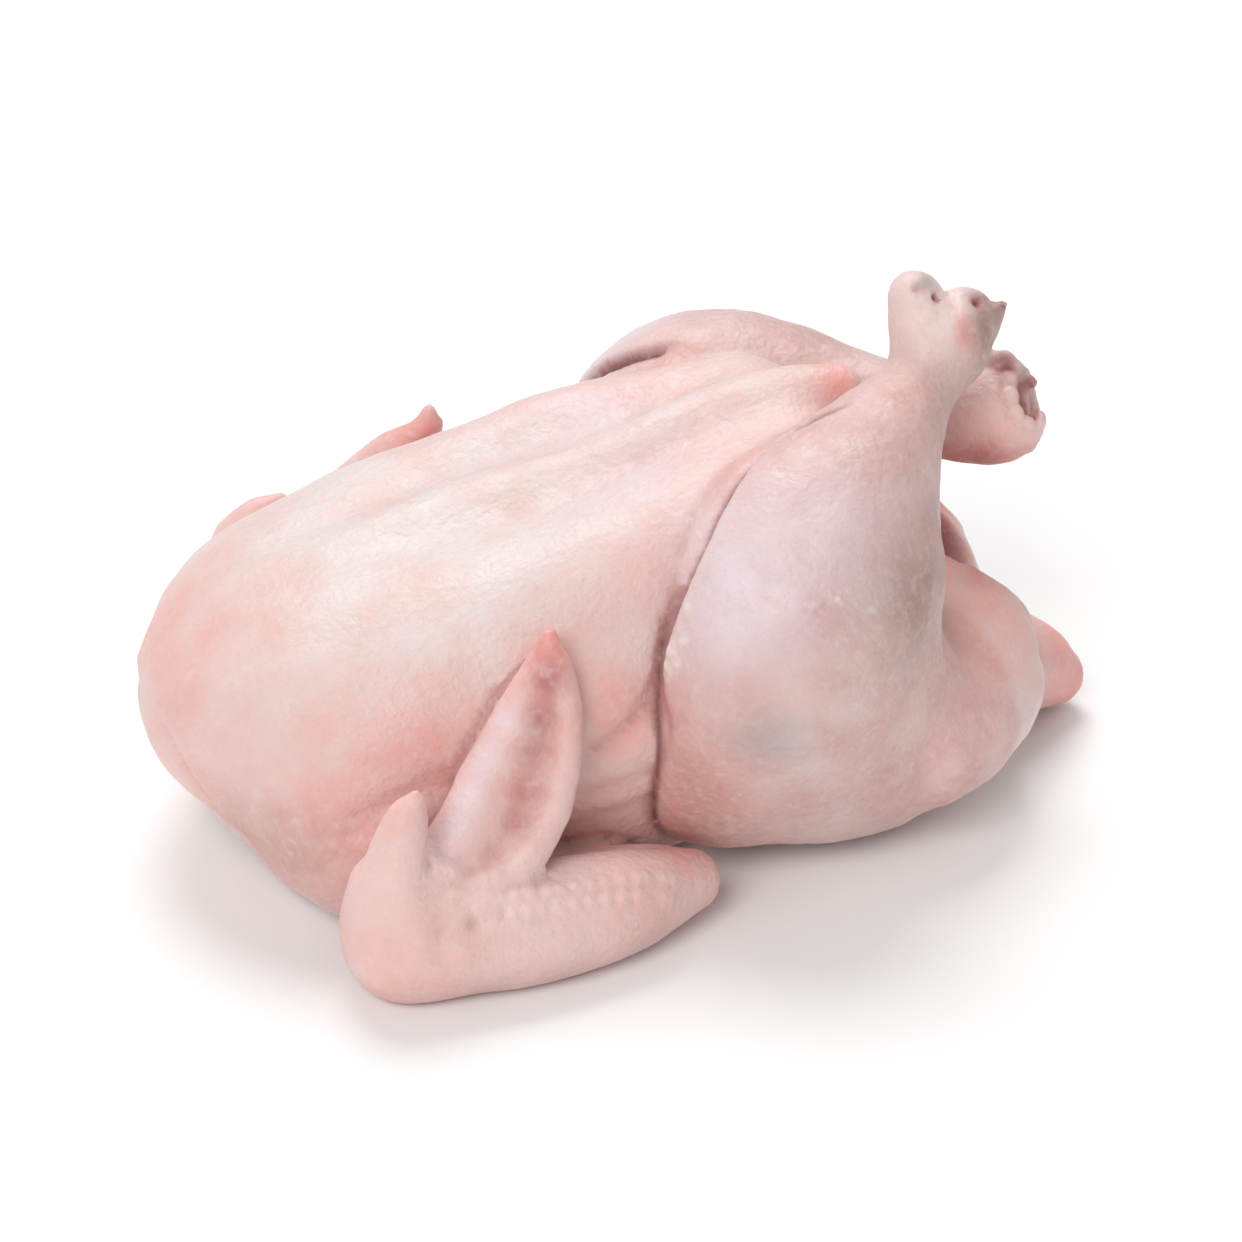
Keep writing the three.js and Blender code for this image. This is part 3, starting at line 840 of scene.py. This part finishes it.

# ---- Colour --------------------------------------------------------------------------------
# Thin wet poultry skin: cream over the breast, mauve over the dark leg meat, flushed pink at the
# wings and folds, grey where a vein or membrane shows, with whitish fat and raw red cut ends.
# Painted shade darkens the hollows, the folds between thighs and body, the vent, the socket and the
# sides turned from the light, and painted highlights and painted light brighten the ridges,
# drumsticks, wing hands, hocks, alulas, forearms and elbows. Each patch of colour is a place, a
# radius and a strength, on both sides of the bird.

PATCHES = {
    "flush": [
        (-126, -12, 62, 24, 0.6),
        (-116, -28, 30, 16, 0.5),
        (-108, -46, 20, 14, 0.55),
        (-118, -45, 40, 22, 0.3),
        (-98, -62, 24, 16, 0.6),
        (-88, -66, 50, 24, 0.6),
        (-70, -64, 58, 18, 0.5),
        (-21, -66, 64, 16, 0.65),
        (-28, -68, 30, 20, 0.6),
        (5, -60, 15, 18, 0.7),
        (-1, -74, 40, 14, 0.5),
        (-2, -70, 24, 10, 0.5),
        (-18, -66, 55, 8, 0.5),
        (61, -4, 118, 6, 0.9),
        (56, -12, 114, 12, 0.4),
        (20, -28, 112, 24, 0.35),
        (-12, -52, 96, 18, 0.35),
        (68, -40, 124, 15, 0.35),
        (89, -24, 139, 2.8, 0.8),
        (88.5, -24.5, 135, 2.8, 0.8),
        (87.5, -24.5, 131, 3, 0.7),
        (92, -23, 132, 5, 0.5),
        (92, -35, 56, 18, 0.4),
        (129, 0, 16, 18, 0.9),
        (133, -5, 14, 12, 0.8),
        (95, 20, 66, 15, 1.0),
        (104, 5, 84, 12, 0.9),
        (118, -8, 20, 13, 0.7),
        (100, -38, 45, 22, 0.4),
        (72, -66, 40, 20, 0.25),
        (-40, -68, 84, 10, 1.0),
        (-38.5, -66, 86, 5, 0.8),
        (-12, -82, 16, 10, 0.8),
        (-84, -92, 20, 18, 0.3),
        (104, 0, 100, 16, 0.4),
    ],
    # Deep pink-red, partly the real colour of each wing hand's groove, between the rump lobes and
    # at the vent's mouth, and partly painted shade down the groove, on the bony edge's side turned
    # from the light.
    "rose_and_shade": [
        (-40, -69, 80, 4.5, 0.3),
        (-41.5, -71.4, 76, 4.5, 0.8),
        (-44.4, -75.5, 68.2, 4.5, 0.9),
        (-46.8, -79, 60.4, 4.5, 0.9),
        (-49.6, -81.8, 51, 4.5, 0.85),
        (-53.4, -83.6, 42.6, 4.5, 0.8),
        (-60.5, -84.8, 34.9, 4.5, 0.5),
        (104, 5, 84, 12, 0.6),
    ],
    # This mauve tint is partly the dark meat showing through thin skin and partly a painted
    # highlight, chiefly on the upper part of each drumstick and along each wing hand's bony edge.
    "lilac_and_sheen": [
        (10, -70, 97, 20, 0.95),
        (36, -64, 104, 18, 0.4),
        (0, -60, 86, 14, 0.4),
        (0, 20, 104, 14, 0.5),
        (-54.8, -73.9, 68.6, 4.5, 0.7),
        (-61.7, -78.7, 60.6, 5, 0.9),
        (-67, -80.5, 51.9, 5, 0.9),
        (-71.6, -82.8, 43.8, 5, 0.9),
        (-75.5, -85, 36, 4.5, 0.8),
    ],
    # Whitish, partly the skin over the near hock's knuckles and partly painted light on both hocks,
    # the alulas, the forearms and the elbows, which the lamps leave dim.
    "pale_and_lit": [
        (84, -18, 140, 13, 1.0),
        (106, -10, 102, 13, 1.0),
        (-88, -92, 36, 16, 0.45),
        (-50, -96, 20, 24, 0.5),
        (-12, -84, 14, 10, 0.35),
    ],
    # Mostly painted shade: on each drumstick's side turned from the light, on the near hock's right
    # side and the shank below it, low on the flanks, thighs, chest and neck flap, under the
    # forearms and in the far hock's socket. Some of it is real darker skin on the drumstick and at
    # the hock's cut end.
    "brown_shade": [
        (58, -74, 86, 17, 0.75),
        (44, -78, 78, 12, 0.3),
        (70, -60, 96, 10, 0.4),
        (69, -38, 116, 9, 0.5),
        (95.5, -22, 140, 4.5, 0.8),
        (94.5, -22, 134, 5, 0.85),
        (94, -22, 127, 5.5, 0.8),
        (101, -17, 136, 6, 0.8),
        (99.6, -18, 129, 6, 0.8),
        (91, -24, 120, 6, 0.6),
        (78, -32, 118, 8, 0.5),
        (84, -26, 126, 7, 0.3),
        (98, -16, 143, 4, 0.9),
        (103.6, -14, 138, 3, 0.8),
        (-3, -74, 45, 10, 0.3),
        (5, -71, 22, 12, 0.5),
        (0, -74, 34, 9, 0.25),
        (58, -60, 20, 14, 0.2),
        (-45, -99, 7, 9, 0.3),
        (-22, -95, 7, 9, 0.3),
        (-66, -100, 6, 9, 0.25),
        (-104, -60, 26, 13, 0.52),
        (-113, -42, 30, 15, 0.48),
        (118.8, 4, 109, 3, 0.5),
        (119.7, -6, 102, 3.5, 0.5),
    ],
    "grey": [
        (15, -86, 55.5, 9, 0.85),
        (80, -17, 149, 3, 0.9),
        (93.5, -17, 145.5, 3.5, 0.9),
        (117.5, 2, 110, 3.5, 0.8),
        (121, -4, 105, 3, 0.6),
        (69.3, -62.7, 88.7, 4, 0.5),
        (69, -58, 103, 4, 0.5),
    ],
    # Dark raw red, partly the real colour of torn and cut flesh at the hocks and rump, and partly
    # painted shade inside the far hock's socket and beneath that hock.
    "raw": [
        (98, -8, 84, 10, 0.5),
        (96, 18, 64, 12, 0.35),
        (115.5, -6.5, 106.5, 4, 0.95),
        (116, -8.5, 103, 3.5, 0.95),
        (110.8, 1, 112, 3, 0.8),
        (106, 8, 113, 3.5, 0.7),
        (77, -18.5, 148, 1.8, 0.35),
    ],
}
RAG_LENGTH, RAGGEDNESS = 12, 0.35
BEND_ROUNDS = 3

# In each pair below, a tint is absent at the first place, height or bend and full at the second.
WING_FLUSH = 0.5
VENT_LINING = 2
# Where along the vent its lining turns deep pink-red and then dark raw red, that darkening deep
# inside being partly painted shade, and the dark red's strength.
VENT_MOUTH, VENT_DEPTH, VENT_RAW_SHADE = (112, 98), (94, 72), 0.8
# Heights between which the painted shade in the thigh's fold fades in, and how dark its edge line
# is painted.
SEAM_TOP, SEAM_FOOT = (86, 74), (11, 22)
EDGE_FOOT, EDGE_SHADE_STRENGTH, EDGE_CHANGE = (70, 86), 0.85, 0.8
FLANK_SIDE, FLANK_TOP = (32, 40), (109, 98)
# How much of the mauve tint and its painted highlight is taken off the flank before the thigh, and
# how much of the painted shade in hollows is taken off the wings.
FLANK_LILAC_SHEEN_LOSS, WING_HOLLOW_SHADE_LOSS = 0.6, 0.55
# Bends over which the painted shade fills the hollows and the painted highlight lightens the
# ridges.
HOLLOW_SHADE_BEND, RIDGE_HIGHLIGHT_BEND = (0.004, 0.07), (0.012, 0.09)


def patchwork(spots):
    """How strongly a colour's patches cover each point, on both sides."""
    clear = np.ones(len(points))
    for x, y, z, radius, strength in spots:
        reach = [np.linalg.norm(points - (x, y * side, z), axis=1) for side in (-1, 1)]
        reach = np.minimum(*reach)
        clear *= 1 - strength * np.exp(-((reach / radius) ** 2))
    return 1 - clear


def paint(name, strength):
    """Store a mask on the mesh, where the material reads it."""
    layer = skin_mesh.attributes.new(name, "FLOAT", "POINT")
    layer.data.foreach_set("value", np.clip(strength, 0, 1).astype(np.float32))


# How much the skin bends inwards at each point, for painted shade in the hollows and a painted
# highlight on the ridges.
normals = column(skin_mesh.vertex_normals, "vector", 3)
spread = np.linalg.norm(points[edges[:, 0]] - points[edges[:, 1]], axis=1) ** 2
spread = np.bincount(edges.ravel(), np.repeat(spread, 2), len(points)) / np.bincount(edges.ravel())
bend = ((neighbour_mean(points, edges) - points) * normals).sum(axis=1) / spread
for _ in range(BEND_ROUNDS):
    bend = neighbour_mean(np.repeat(bend[:, None], 3, axis=1), edges)[:, 0]

ragged = 1 + RAGGEDNESS * unevenness(points, RAG_LENGTH, seed=3)
masks = {name: patchwork(spots) * ragged for name, spots in PATCHES.items()}
wing_flush = WING_FLUSH * on_wing * ragged * (1 - masks["lilac_and_sheen"]) * (1 - masks["pale_and_lit"])
masks["flush"] = np.maximum(masks["flush"], wing_flush)
masks["fat"] = beads
# The hock's dents in dark raw red, partly torn flesh and partly painted shade in the dents.
masks["raw"] = np.maximum(masks["raw"], holes)
# The vent's lining: deep pink-red, then dark raw red deeper in, which is partly painted shade of
# the cavity.
in_vent = np.exp(-((limb(VENT)(points) / VENT_LINING) ** 2))
masks["rose_and_shade"] = np.maximum(masks["rose_and_shade"], in_vent * ramp(points[:, 0], *VENT_MOUTH))
masks["raw"] = np.maximum(masks["raw"], VENT_RAW_SHADE * in_vent * ramp(points[:, 0], *VENT_DEPTH))
masks["bumpy"] = bumpy
masks["dark meat"] = on_leg * (1 - masks["pale_and_lit"])
heights = points[:, 2]
# Painted shade down the fold between thigh and body.
thigh_seam_shade *= ramp(heights, *SEAM_TOP) * ramp(heights, *SEAM_FOOT)
thigh_edge_shade = EDGE_SHADE_STRENGTH * np.maximum(*thigh_edge_shade_lines) * ramp(heights, *EDGE_FOOT)
masks["crease"] = np.maximum(thigh_seam_shade, thigh_edge_shade)
edge_x, _, edge_z = np.array(THIGH_EDGE[::-1]).T
before_thigh = ramp(np.interp(heights, edge_z, edge_x) - points[:, 0], -EDGE_CHANGE, EDGE_CHANGE)
on_flank = ramp(np.abs(points[:, 1]), *FLANK_SIDE) * ramp(heights, *FLANK_TOP)
before_thigh *= on_flank * (1 - on_wing)
# Less of the mauve tint and its painted highlight on the flank before the thigh.
masks["lilac_and_sheen"] *= 1 - FLANK_LILAC_SHEEN_LOSS * before_thigh
masks["dark meat"] *= 1 - before_thigh
# Painted shade in the hollows, weaker on the wings, and a painted highlight on the ridges.
masks["hollow_shade"] = ramp(bend, *HOLLOW_SHADE_BEND) * (1 - WING_HOLLOW_SHADE_LOSS * on_wing)
masks["ridge_highlight"] = ramp(-bend, *RIDGE_HIGHLIGHT_BEND)
for name, strength in masks.items():
    paint(name, strength)

skin_paint = bpy.data.materials.new("raw poultry skin")
skin_paint.use_nodes = True
nodes, links = skin_paint.node_tree.nodes, skin_paint.node_tree.links
shader = nodes["Principled BSDF"]
shader.inputs["Subsurface Weight"].default_value = 0.35
shader.inputs["Subsurface Radius"].default_value = (1.0, 0.35, 0.22)
shader.inputs["Subsurface Scale"].default_value = 0.004
shader.inputs["Specular IOR Level"].default_value = 0.5
place = nodes.new("ShaderNodeTexCoord").outputs["Object"]


def mask(name):
    node = nodes.new("ShaderNodeAttribute")
    node.attribute_name = name
    return node.outputs["Fac"]


def mottle(scale, detail, low, high):
    """Noise of a size, stretched so that low becomes 0 and high becomes 1."""
    texture = nodes.new("ShaderNodeTexNoise")
    texture.inputs["Scale"].default_value = scale
    texture.inputs["Detail"].default_value = detail
    links.new(place, texture.inputs["Vector"])
    stretch = nodes.new("ShaderNodeMapRange")
    stretch.inputs["From Min"].default_value = low
    stretch.inputs["From Max"].default_value = high
    links.new(texture.outputs["Fac"], stretch.inputs["Value"])
    return stretch.outputs["Result"]


def multiply(first, second):
    node = nodes.new("ShaderNodeMath")
    node.operation = "MULTIPLY"
    for socket, value in zip(node.inputs, (first, second)):
        if isinstance(value, float):
            socket.default_value = value
        else:
            links.new(value, socket)
    return node.outputs["Value"]


def tint(under, over, strength):
    """The under colour, turned towards the over colour by the strength."""
    node = nodes.new("ShaderNodeMix")
    node.data_type = "RGBA"
    for name, value in (("A", under), ("B", over)):
        socket = next(s for s in node.inputs if s.name == name and s.type == "RGBA")
        if isinstance(value, tuple):
            socket.default_value = (*value, 1)
        else:
            links.new(value, socket)
    links.new(strength, node.inputs["Factor"])
    return next(s for s in node.outputs if s.type == "RGBA")


CREAM = (0.76, 0.66, 0.64)
# Whitish, partly the colour of painted light.
PALE_AND_LIT = (0.90, 0.71, 0.67)
PINK = (0.75, 0.54, 0.50)
FLUSH = (0.80, 0.355, 0.315)
# Mauve, partly the colour of a painted highlight.
LILAC_AND_SHEEN = (0.80, 0.68, 0.73)
# Deep pink-red, partly the colour of painted shade.
ROSE_AND_SHADE = (0.48, 0.16, 0.16)
DARK_MEAT = (0.60, 0.35, 0.33)
# The colour of the painted shade in hollows.
HOLLOW_SHADE = (0.52, 0.24, 0.22)
# The colour of the painted shade, mostly.
BROWN_SHADE = (0.40, 0.25, 0.22)
GREY = (0.45, 0.38, 0.37)
FAT = (0.82, 0.72, 0.66)
# Dark raw red, partly the colour of painted shade.
RAW_AND_SHADE = (0.30, 0.06, 0.055)
# The colour of the painted shade in the fold between thigh and body.
CREASE_SHADE = (0.20, 0.07, 0.06)

# Noise patterns: how many to the metre, their detail, and the values that become 0 and 1.
BLOTCHES = (45, 4, 0.42, 0.72)
MEAT_BLOTCHES = (60, 3, 0.05, 0.8)
PINK_SPECKS = (380, 2, 0.5, 0.75)
CREAM_SPECKS = (300, 2, 0.55, 0.8)
WET_PATCHES = (120, 3, 0.3, 0.7)
SKIN_GRAIN = (420, 3, 0.3, 0.7)

colour = tint(CREAM, PINK, mottle(*BLOTCHES))
colour = tint(colour, DARK_MEAT, multiply(mask("dark meat"), mottle(*MEAT_BLOTCHES)))
# Whitish skin and painted light.
colour = tint(colour, PALE_AND_LIT, mask("pale_and_lit"))
# Painted highlight on the ridges, in cream.
colour = tint(colour, CREAM, multiply(mask("ridge_highlight"), 0.35))
colour = tint(colour, FLUSH, mask("flush"))
# Mauve, partly a painted highlight on the drumsticks and wing hands.
colour = tint(colour, LILAC_AND_SHEEN, mask("lilac_and_sheen"))
# Mostly painted shade.
colour = tint(colour, BROWN_SHADE, mask("brown_shade"))
# Deep pink-red, partly painted shade in the wing hands' grooves.
colour = tint(colour, ROSE_AND_SHADE, mask("rose_and_shade"))
colour = tint(colour, PINK, multiply(mottle(*PINK_SPECKS), 0.4))
colour = tint(colour, CREAM, multiply(mottle(*CREAM_SPECKS), 0.3))
# Painted shade in the hollows.
colour = tint(colour, HOLLOW_SHADE, multiply(mask("hollow_shade"), 0.8))
colour = tint(colour, GREY, mask("grey"))
colour = tint(colour, FAT, mask("fat"))
# Raw red, partly painted shade in the far hock's socket, the dents and the vent.
colour = tint(colour, RAW_AND_SHADE, mask("raw"))
# Painted shade in the fold between thigh and body.
colour = tint(colour, CREASE_SHADE, multiply(mask("crease"), 0.95))
links.new(colour, shader.inputs["Base Color"])

gloss = nodes.new("ShaderNodeMapRange")
gloss.inputs["To Min"].default_value = 0.4
gloss.inputs["To Max"].default_value = 0.58
links.new(mottle(*WET_PATCHES), gloss.inputs["Value"])
links.new(gloss.outputs["Result"], shader.inputs["Roughness"])

grain = nodes.new("ShaderNodeBump")
grain.inputs["Distance"].default_value = 0.0004
grain.inputs["Strength"].default_value = 0.6
links.new(mottle(*SKIN_GRAIN), grain.inputs["Height"])
links.new(grain.outputs["Normal"], shader.inputs["Normal"])
skin_mesh.materials.append(skin_paint)

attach(skin, "root")
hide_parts("chicken")

# ---- Floor, lights and camera --------------------------------------------------------------
# A seamless white sweep in a white room, with one large soft light overhead and behind and one
# from the front left, seen from the bird's right side.

FLOOR_SIDE = 12.0
half = FLOOR_SIDE / 2
floor_mesh = bpy.data.meshes.new("floor")
floor_mesh.from_pydata(
    [(-half, -half, 0), (half, -half, 0), (half, half, 0), (-half, half, 0)], [], [(0, 1, 2, 3)]
)
floor = bpy.data.objects.new("floor", floor_mesh)
bpy.context.scene.collection.objects.link(floor)
floor_paint = bpy.data.materials.new("white sweep")
floor_paint.use_nodes = True
floor_shader = floor_paint.node_tree.nodes["Principled BSDF"]
floor_shader.inputs["Base Color"].default_value = (0.95, 0.95, 0.95, 1)
floor_shader.inputs["Roughness"].default_value = 0.9
floor_shader.inputs["Specular IOR Level"].default_value = 0.1
floor_mesh.materials.append(floor_paint)

world = bpy.data.worlds.new("white room")
world.use_nodes = True
world.node_tree.nodes["Background"].inputs["Color"].default_value = (1, 1, 1, 1)
world.node_tree.nodes["Background"].inputs["Strength"].default_value = 0.46
bpy.context.scene.world = world

SOFTBOXES = [
    ("overhead", (0.3, 1.9, 3.2), 2.3, 77.0),
    ("front", (-2.2, -2.7, 3.0), 2.6, 94.0),
]
BIRD_MIDDLE = Vector((0, 0, 0.05))
for name, spot, size, watts in SOFTBOXES:
    light = bpy.data.lights.new(name, "AREA")
    light.shape = "DISK"
    light.size = size
    light.energy = watts
    lamp = bpy.data.objects.new(name, light)
    lamp.location = spot
    lamp.rotation_euler = (BIRD_MIDDLE - lamp.location).to_track_quat("-Z", "Y").to_euler()
    bpy.context.scene.collection.objects.link(lamp)

VIEW_AZIMUTH = math.radians(-17)
VIEW_ELEVATION = math.radians(29)
VIEW_DISTANCE = 1.125
VIEW_TARGET = Vector((0, 0, 0.0495))
SENSOR_MM = 36.0
IMAGE_SIDE = 1242
FOCAL_PIXELS = 4062.5

camera_data = bpy.data.cameras.new("camera")
camera_data.sensor_width = SENSOR_MM
camera_data.lens = FOCAL_PIXELS * SENSOR_MM / IMAGE_SIDE
camera = bpy.data.objects.new("camera", camera_data)
level = math.cos(VIEW_ELEVATION)
away = Vector(
    (math.sin(VIEW_AZIMUTH) * level, -math.cos(VIEW_AZIMUTH) * level, math.sin(VIEW_ELEVATION))
)
camera.location = VIEW_TARGET + VIEW_DISTANCE * away
camera.rotation_euler = (-away).to_track_quat("-Z", "Y").to_euler()
bpy.context.scene.collection.objects.link(camera)
bpy.context.scene.camera = camera
bpy.context.scene.view_settings.view_transform = "Standard"
